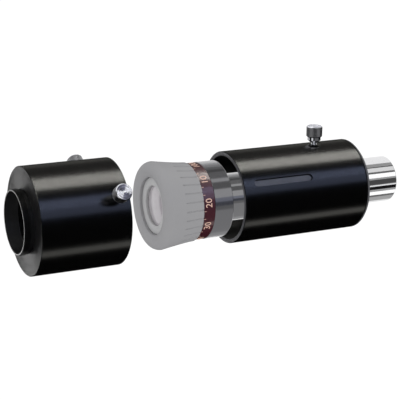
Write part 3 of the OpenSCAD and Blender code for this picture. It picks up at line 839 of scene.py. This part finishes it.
def thumbscrew(name, shank):
    """A thumbscrew along +X, with the foot of its collar at 0 and a shank of that length below it."""
    top = COLLAR_HEIGHT + HEAD_HEIGHT
    low, high = COLLAR_HEIGHT + HEAD_BEVEL, top - HEAD_BEVEL
    core = turned(name, [
        (-shank, 0), (-shank, SHANK_CORE), (0, SHANK_CORE), (0, FOOT_RADIUS),
        (FOOT_HEIGHT, COLLAR_RADIUS), (COLLAR_HEIGHT, COLLAR_RADIUS), (COLLAR_HEIGHT, HEAD_RIM),
        (low, HEAD_STEP), (low, HEAD_CORE), (high, HEAD_CORE), (high, HEAD_STEP), (top, HEAD_RIM),
        (top, CENTRE_RADIUS), (top - CENTRE_DEPTH, 0),
    ], 64, closed=False)
    soften(core, 0.06, 2, 40)
    shade(core)
    ridge = thread(name + "_thread", -shank + 0.1, shank - 0.1, SHANK_PITCH, SHANK_CORE, SHANK_RADIUS, 32)
    shade(ridge, 20)
    return join(core, knurl(low, high), ridge)


def screw_finish(face, foot):
    """0 is the plated skin, 1 the knurl and 2 the faced end, on a screw along +X whose foot is at that x."""
    out = math.hypot(face.center.y, face.center.z) / MM
    height = face.center.x / MM - foot - COLLAR_HEIGHT
    if out > HEAD_RADIUS - 0.4 and abs(height - HEAD_HEIGHT / 2) < HEAD_HEIGHT / 2 - HEAD_BEVEL:
        return 1
    return 2 if out < HEAD_RIM and height > HEAD_HEIGHT - 0.1 else 0


print("a head is", 2 * HEAD_RADIUS, "mm across and", HEAD_HEIGHT, "mm high")

# %% [markdown]
# ## The three screws
# The tube's screw clamps the eyepiece and the sleeve's two screws clamp the tube. They differ only in where
# they stand and how far they reach. Each faced end has a finish of its own, because its rings and its painted
# wedges of light go round its own axis. The tube screw's end is seen at a low angle, where its wedges hardly
# differ. The knurls are dark, which is partly dirt and partly painted shade in their grooves. The back screw
# peeps out from behind the sleeve, and its knurl is paler, which paints the full light on it.

# %% Make the three screws
# A screw reaches from the radius where its collar's foot stands to the radius where its nylon tip ends.
TUBE_REACH = TUBE_RADIUS + 1.3, BARREL_RADIUS + 1.2
SLEEVE_REACH = SLEEVE_RADIUS + 3.75, SLEEVE_BORE + 0.65
TIP_CAP = 1.25
END_TINT = (0.8, 0.81, 0.88, 1)
# Body, place along X, angle and reach.
SCREWS = {
    "tube_thumbscrew": ("tube_screw", TUBE_SCREW_X, 0, *TUBE_REACH),
    "front_thumbscrew": ("front_screw", SLEEVE_SCREW_X, GROOVE_ANGLE, *SLEEVE_REACH),
    "back_thumbscrew": ("back_screw", SLEEVE_SCREW_X, BACK_ANGLE, *SLEEVE_REACH),
}
for node, (body, x, angle, foot, tip) in SCREWS.items():
    screw = thumbscrew("knurled_" + node, foot - tip - TIP_CAP)
    screw.data.transform(Matrix.Translation((foot * MM, 0, 0)))
    finishes = [screw_finish(face, foot) for face in screw.data.polygons]
    place_radially(screw, x, angle)
    # How far the painted shade between the wedges darkens each faced end: less on the tube screw's end, seen
    # at a low angle.
    dim = 0.4 if angle else 0.8
    end_chrome = bright_metal("faced_end_" + body, END_TINT, 0.14, 0.06, 1.0, faced=(x, angle), dim=dim)
    # The back screw's knurl gets the lit copy, which is painted light.
    knurl_finish = KNURL_PAINTED_LIGHT if angle == BACK_ANGLE else KNURL_DIRT_AND_SHADE
    settle(screw, body, "screw_chrome", [SCREW_CHROME, knurl_finish, end_chrome], node)
    screw.data.polygons.foreach_set("material_index", finishes)

# %% [markdown]
# ## The eyecup
# The soft rubber eyecup flares gently to a rounded rim, inside which a shallow dish leads down to the lens.
# Its section is drawn from three runs of points: the flare, the rim and the dish.

# %% Spin the eyecup
CUP_REAR, CUP_RADIUS, CUP_FLARE, CUP_HOLE = 26.3, 29.2, 1.3, 19.0
RIM_LENGTH, RIM_WIDTH, DISH_DEPTH, DISH_EDGE = 5.0, 4.1, 1.8, 0.3
CELL_RADIUS, CELL_FIT = 21.2, 0.05
GRIPS = 29
widest = CUP_RIM + RIM_LENGTH


def cup_radius(x):
    share = (LABEL_START - x) / (LABEL_START - widest)
    return CUP_REAR + (CUP_RADIUS - CUP_REAR) * share ** CUP_FLARE


flare = [LABEL_START + (widest - LABEL_START) * i / 24 for i in range(25)]
flare = [(x, cup_radius(x)) for x in flare]
rim = [
    (widest - RIM_LENGTH * math.sin(a), CUP_RADIUS - RIM_WIDTH * (1 - math.cos(a)))
    for a in (math.radians(7.5 * i) for i in range(1, 13))
]
crest = CUP_RADIUS - RIM_WIDTH
dish = [
    (CUP_RIM + DISH_DEPTH * t * t, crest - (crest - CUP_HOLE - DISH_EDGE) * t)
    for t in (i / 10 for i in range(1, 11))
]
cup = turned("rubber_eyecup", [
    *flare, *rim, *dish, (CUP_RIM + DISH_DEPTH + DISH_EDGE, CUP_HOLE), (CELL - CELL_FIT, CUP_HOLE),
    (CELL - CELL_FIT, CELL_RADIUS + CELL_FIT), (LABEL_START, CELL_RADIUS + CELL_FIT),
], 6 * GRIPS)
print("the eyecup has", len(cup.data.polygons), "faces")

# %% [markdown]
# ## The eyecup's grip
# A ring of shallow grooves gives the fingers a grip near the label ring. The cutter is a thin bar with a
# ball end that lies along the flare. One is modelled and copied round the axis, and all cut in one go.

# %% Cut the grip
GRIP_LENGTH, GRIP_DEPTH, GRIP_RADIUS = 13.0, 0.45, 0.5
run = GRIP_LENGTH - GRIP_RADIUS
start_radius, end_radius = (
    cup_radius(x) - GRIP_DEPTH + GRIP_RADIUS for x in (LABEL_START, LABEL_START - run)
)
rise = Matrix.Rotation(math.atan2(end_radius - start_radius, run), 4, "Y")
quarter = [math.radians(15 * i) for i in range(7)]
ball = [(-GRIP_RADIUS * math.sin(a), GRIP_RADIUS * math.cos(a)) for a in quarter]
bar = turned("grip_bar", [(run + 1, 0), (run + 1, GRIP_RADIUS), *ball], 16, closed=False)
bar.data.transform(Matrix.Translation(((LABEL_START - run) * MM, 0, end_radius * MM)) @ rise)
bars = [bar]
for i in range(1, GRIPS):
    copy = bar.copy()
    copy.data = bar.data.copy()
    bpy.context.scene.collection.objects.link(copy)
    copy.data.transform(Matrix.Rotation(2 * math.pi * i / GRIPS, 4, "X"))
    bars.append(copy)
cut(cup, join(*bars))
shade(cup, 40)
settle(cup, "eyepiece", "grey_rubber", RUBBER, "eyecup")

# %% [markdown]
# ## The label ring
# A lacquered ring lies between the eyecup and the metal band. It is a plain band with a hair of an edge.

# %% Turn the label ring
LABEL_RADIUS, LABEL_WALL = BODY_RADIUS - 0.2, 0.9
label = turned("maroon_ring", [
    (LABEL_START, LABEL_RADIUS - LABEL_WALL), (LABEL_START, LABEL_RADIUS),
    (LABEL_END, LABEL_RADIUS), (LABEL_END, LABEL_RADIUS - LABEL_WALL),
], 180)
soften(label, 0.05)
shade(label)
settle(label, "eyepiece", "maroon_lacquer", LACQUER, "label_ring")

# %% [markdown]
# ## The scale on the label ring
# The ring carries a plain scale of numbers in pale paint, with two lines between each number and the next.
# Figures and lines are thin solids that stand a hair proud of the lacquer, so that they are in the mesh too.

# %% Letter the scale
FIGURES, FIRST_FIGURE = 10, 42
FIGURE_HEIGHT, FIGURE_LIFT, FIGURE_THICKNESS = 6.4, 0.03, 0.06
LINE_SIZE, LINE_PLACE = (1.4, 0.3, 0.1), 1.3
middle = (LABEL_START + LABEL_END) / 2
marks = []


def put_mark(mark, angle, x, radius):
    """Moves a flat mark out to the ring's face at x, turns it round the axis and keeps it."""
    out = Matrix.Translation((x * MM, 0, radius * MM))
    mark.data.transform(Matrix.Rotation(math.radians(angle), 4, "X") @ out)
    marks.append(mark)


for i in range(FIGURES):
    deselect()
    bpy.ops.object.text_add()
    figure = bpy.context.object
    figure.data.body = str(10 * (i + 1))
    figure.data.size = FIGURE_HEIGHT * MM
    figure.data.align_x, figure.data.align_y = "CENTER", "CENTER"
    figure.data.extrude = FIGURE_THICKNESS * MM
    bpy.ops.object.convert(target="MESH")
    figure.data.transform(Matrix.Rotation(math.radians(90), 4, "Z"))
    put_mark(figure, FIRST_FIGURE + 360 / FIGURES * i, middle, LABEL_RADIUS + FIGURE_LIFT)
for i in (third for third in range(3 * FIGURES) if third % 3):
    deselect()
    bpy.ops.mesh.primitive_cube_add(size=MM)
    line = bpy.context.object
    resize(line, *LINE_SIZE)
    put_mark(line, FIRST_FIGURE + 120 / FIGURES * i, LABEL_START + LINE_PLACE, LABEL_RADIUS)
scale = join(*marks)
scale.name = "scale_marks"
settle(scale, "eyepiece", "maroon_lacquer", PAINT)

# %% [markdown]
# ## The eyepiece's body
# The metal band is one turned piece with the lens cell under the rubber. Inside it are the seats of the
# lenses and a socket for the barrel.

# %% Turn the eyepiece's body
CELL_MOUTH, OPTICS_BORE, THROAT, SOCKET, LABEL_SEAT = 17.0, 14.75, 13.3, 15.25, 24.55
CELL_DEPTH, OPTICS_END, SOCKET_DEPTH = 3.1, 16.4, 4.7
body_piece = turned("silver_body", [
    (CELL, CELL_MOUTH), (CELL, CELL_RADIUS), (LABEL_START, CELL_RADIUS), (LABEL_START, LABEL_SEAT),
    (LABEL_END, LABEL_SEAT), (LABEL_END, BODY_RADIUS - EDGE), (LABEL_END + EDGE, BODY_RADIUS),
    (SHOULDER - EDGE, BODY_RADIUS), (SHOULDER, BODY_RADIUS - EDGE), (SHOULDER, SOCKET),
    (SHOULDER - SOCKET_DEPTH, SOCKET), (SHOULDER - SOCKET_DEPTH, THROAT), (CELL + OPTICS_END, THROAT),
    (CELL + OPTICS_END, OPTICS_BORE), (CELL + CELL_DEPTH, OPTICS_BORE), (CELL + CELL_DEPTH, CELL_MOUTH),
], 180)
soften(body_piece, 0.1)
shade(body_piece)
settle(body_piece, "eyepiece", "satin_chrome", SILVER_AND_PAINTED_SHADE, "eyepiece_body")

# %% [markdown]
# ## The eyepiece's barrel
# The barrel screws into the body's socket, has the same standard diameter as the nosepiece, and ends in the
# same thread for filters. Its chrome is tinted darker, which paints the shade it lies in inside the tube.

# %% Turn the eyepiece's barrel
# Radius of the plug, radius of the bore, and chamfer.
BARREL_SIZES = 15.2, 13.9, 0.6
barrel = holder_barrel("chrome_barrel", BARREL_START, SHOULDER, BARREL_END, *BARREL_SIZES, 0.15)
settle(barrel, "eyepiece", "polished_chrome", BARREL_CHROME_PAINTED_SHADE, "eyepiece_barrel")

# %% [markdown]
# ## The eye lens
# The lens that the eye sees has a true spherical face. An arc with many short steps is spun, so that the
# face mirrors the light without rings.

# %% Spin the eye lens
LENS_RADIUS, FRONT_CURVE, CEMENTED_CURVE, RIM_THICKNESS = 14.65, 60.0, 26.0, 1.2


def sag(curve, radius):
    return curve - math.sqrt(curve * curve - radius * radius)


lens_x = CELL + 0.1
arc = [LENS_RADIUS * i / 24 for i in range(25)]
front = [(lens_x - sag(FRONT_CURVE, LENS_RADIUS) + sag(FRONT_CURVE, r), r) for r in arc]
cemented = lens_x + RIM_THICKNESS + sag(CEMENTED_CURVE, LENS_RADIUS)
back = [(cemented - sag(CEMENTED_CURVE, r), r) for r in reversed(arc)]
eye_lens = turned("eye_lens", front + back, 96)
shade(eye_lens, 40)
settle(eye_lens, "eyepiece", "coated_glass", GLASS, "eye_crown_lens")

# %% [markdown]
# ## Parts that stay as they are
# The holder, the nylon tips and the rest of the optics are plain turned shapes that hardly show. The CAD
# solids are right as they are, and only get their finishes.

# %% Finish the CAD parts that stay
KEPT = {
    "eyepiece_holder": BLACK_SATIN, "field_stop": BLACK_SATIN, "lens_spacer": BLACK_SATIN,
    "tube_screw_tip": NYLON, "front_screw_tip": NYLON, "back_screw_tip": NYLON,
    "eye_lens_retainer": RETAINER_GREY,
    "eye_flint_lens": GLASS, "field_flint_lens": GLASS, "field_crown_lens": GLASS,
}
for node, material in KEPT.items():
    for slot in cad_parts[node].material_slots:
        slot.material = material
print("kept parts:", len(KEPT))

# %% [markdown]
# ## The sky
# Rubber, paper and lacquer take an even, soft light from all round, so they are lit by the sky. The camera
# sees it as plain white paper. Mirrors see almost nothing of it, because they get lights of their own.

# %% Light the sky
WHITE_BACKDROP, SOFT_LEVEL, MIRROR_LEVEL = 1.0, 1.07, 0.004
sky_world = bpy.data.worlds.new("studio_sky")
bpy.context.scene.world = sky_world
sky = Recipe(sky_world)
seen, soft_light = (sky.node("LightPath", out=ray) for ray in ("Is Camera Ray", "Is Diffuse Ray"))
level = seen * WHITE_BACKDROP + soft_light * SOFT_LEVEL + (1 - seen - soft_light) * MIRROR_LEVEL
background = next(n for n in sky.tree.nodes if n.type == "BACKGROUND")
sky.feed(background.inputs["Color"], (1, 1, 1, 1))
sky.feed(background.inputs["Strength"], level)
sky_world.cycles.sampling_method = "NONE"
bpy.context.scene.view_settings.view_transform = "Standard"
bpy.context.scene.view_settings.look = "None"
print("the sky's levels:", WHITE_BACKDROP, SOFT_LEVEL, MIRROR_LEVEL)

# %% [markdown]
# ## Who gets which light
# Shiny parts show what stands round them. Black metal needs a few strong strips in the dark, and chrome
# needs a bright tent with narrow dark gaps, so each kind of finish is lit by sheets of its own. Light
# linking does that: a sheet lights only the pieces in one collection.

# %% Sort the pieces by their light
DARK = {
    "tube_shell", "sleeve_shell", "camera_neck", "eyepiece_holder",
    "maroon_ring", "rubber_eyecup", "scale_marks",
}
SATIN = {"silver_body", "chrome_barrel"}
GROUPS = {name: bpy.data.collections.new("lit_" + name) for name in ("dark", "satin", "screw", "bright")}
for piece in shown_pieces():
    kind = "screw" if piece.name.startswith("knurled") else "bright"
    GROUPS["dark" if piece.name in DARK else "satin" if piece.name in SATIN else kind].objects.link(piece)

# %% [markdown]
# ## The tents
# Round the axis hang curved sheets of light, like a tent of paper. A turned part mirrors them as long
# stripes: the angle of a sheet says where its stripe lies, and its level how bright it is. The sheets of a
# tent follow one another from angle to angle. A few more have a tint of their own, or hang over a part of
# the length only, for the ends of the screws or the wall of the sleeve.

# %% Plan the sheets of light
WARM, COOL, PALE, PLAIN = (1, 0.99, 0.92, 1), (0.57, 0.67, 1.0, 1), (0.8, 0.84, 1.0, 1), (1, 1, 1, 1)
TENT_RADIUS, TENT_HALF, SHEET_STEP = 2500, 4500, 5
# Each tent is a row of sheets: the angle where a sheet starts, from the top towards the camera side, and its
# level of light up to the next angle.
TENTS = {
    "dark": (WARM, [
        (-125, 0.06), (-88, 0.08), (-80, 0.18), (-62, 0.11), (-46, 0.12), (-34, 0.18), (-24, 0.6),
        (-18, 3.6), (-13, 4.6), (-7, 5.0), (11, 0), (143, 1.15), (157, 0),
    ]),
    "satin": (PLAIN, [
        (-130, 0.9), (-60, 0.62), (-48, 0.46), (-36, 0.26), (-24, 0.14), (-12, 0.25), (12, 0.62),
        (24, 0.2), (46, 0.62), (72, 0), (96, 0.24), (108, 0.4), (192, 0.5), (216, 0.64), (235, 0),
    ]),
    "screw": (PLAIN, [
        (-95, 1.5), (-55, 1.1), (-10, 1.5), (12, 0.3), (28, 0.1), (41, 1.4), (51, 0),
    ]),
    "bright": (PLAIN, [
        (-120, 0.85), (-12, 0.3), (9, 0), (13, 0.72), (36, 0.13), (46, 1.15), (67, 0.35), (76, 0.06),
        (99, 0.12), (103, 0.8), (110, 0.005), (127, 0.35), (139, 1.15), (160, 0.14), (173, 0.38),
        (210, 0.8), (240, 0),
    ]),
}
# These sheets have another tint, or hang over a part of the length only: group, angles, level, tint, ends.
SHEETS = [
    ("dark", 36, 55, 1.9, COOL, -TENT_HALF, TENT_HALF),
    ("dark", 55, 73, 1.05, COOL, -TENT_HALF, TENT_HALF),
    ("dark", 217, 252, 1.9, PLAIN, -1600, -800),
    ("dark", 252, 290, 1.0, PLAIN, -1600, -800),
    ("satin", 72, 84, 0.40, PALE, -TENT_HALF, TENT_HALF),
    ("satin", 84, 96, 0.14, PALE, -TENT_HALF, TENT_HALF),
    ("screw", 51, 95, 1.4, PLAIN, -TENT_HALF, 300),
    ("screw", 98, 150, 0.8, PLAIN, -9000, -2500),
    ("screw", 95, 125, 0.12, PLAIN, -1000, 3500),
    ("screw", 235, 275, 0.8, PLAIN, -TENT_HALF, 500),
]
for group, (tint, tent) in TENTS.items():
    for (first, level), (last, _) in zip(tent, tent[1:]):
        if level:
            SHEETS.append((group, first, last, level, tint, -TENT_HALF, TENT_HALF))
print(len(SHEETS), "sheets planned")

# %% [markdown]
# ## Hanging the sheets
# A sheet is a line along the axis that is spun through its angles. It glows and is clear at once, so that
# light from the sheets behind it still comes through, and only mirrors see it. It is part of the stage, not
# of the object.

# %% Hang the sheets of light


def sheet_of_light(group, first, last, level, tint, x_from, x_to):
    a = math.radians(first)
    edge = [(x, -TENT_RADIUS * math.sin(a), TENT_RADIUS * math.cos(a)) for x in (x_from, x_to)]
    name = f"{group}_sheet_{first}"
    steps = max(2, round((last - first) / SHEET_STEP))
    sheet = spin(draw(name, edge, closed=False), steps, first - last)
    recipe = Recipe(bpy.data.materials.new(name))
    glow = recipe.node("Emission", {}, {"Color": tint, "Strength": level})
    clear = recipe.node("BsdfTransparent")
    both = recipe.node("AddShader", {}, {0: glow, 1: clear})
    output = next(n for n in recipe.tree.nodes if n.type == "OUTPUT_MATERIAL")
    recipe.feed(output.inputs["Surface"], both)
    sheet.data.materials.append(recipe.owner)
    sheet.visible_camera = sheet.visible_diffuse = sheet.visible_shadow = sheet.visible_transmission = False
    sheet.light_linking.receiver_collection = GROUPS[group]
    sheet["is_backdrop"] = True


for sheet in SHEETS:
    sheet_of_light(*sheet)
print(len(SHEETS), "sheets hang", TENT_RADIUS, "mm from the axis")

# %% [markdown]
# ## Floor
# The floor is a wide pale sheet well under the object, so that its shadow falls out of the picture and the
# object stands on plain white.

# %% Lay the floor
FLOOR_DROP, FLOOR_SIZE = 0.6, 40
deselect()
bpy.ops.mesh.primitive_plane_add(size=FLOOR_SIZE, location=(0, 0, -FLOOR_DROP))
floor = bpy.context.object
floor.name = "floor"
paper = finish("pale_floor", Roughness=0.9, Specular_IOR_Level=0.0)
fibre = paper.noise(8, 3.0)
paper_tint = paper.blend((0.97, 0.97, 0.97, 1), (0.985, 0.985, 0.985, 1), fibre)
paper.feed(paper.shader.inputs["Base Color"], paper_tint)
floor.data.materials.append(paper.owner)
floor.visible_glossy = False
floor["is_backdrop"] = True
print("floor lies", FLOOR_DROP, "m under the axis")

# %% [markdown]
# ## Check the size
# The dressed part must be as large as the CAD model. How far each corner of its box grew is printed.

# %% Compare the boxes
NEW_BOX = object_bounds()
for corner, pair in zip(("low", "high"), zip(CAD_BOX, NEW_BOX)):
    print(corner, "corner grew by, in mm:", [round((after - before) / MM, 3) for before, after in zip(*pair)])
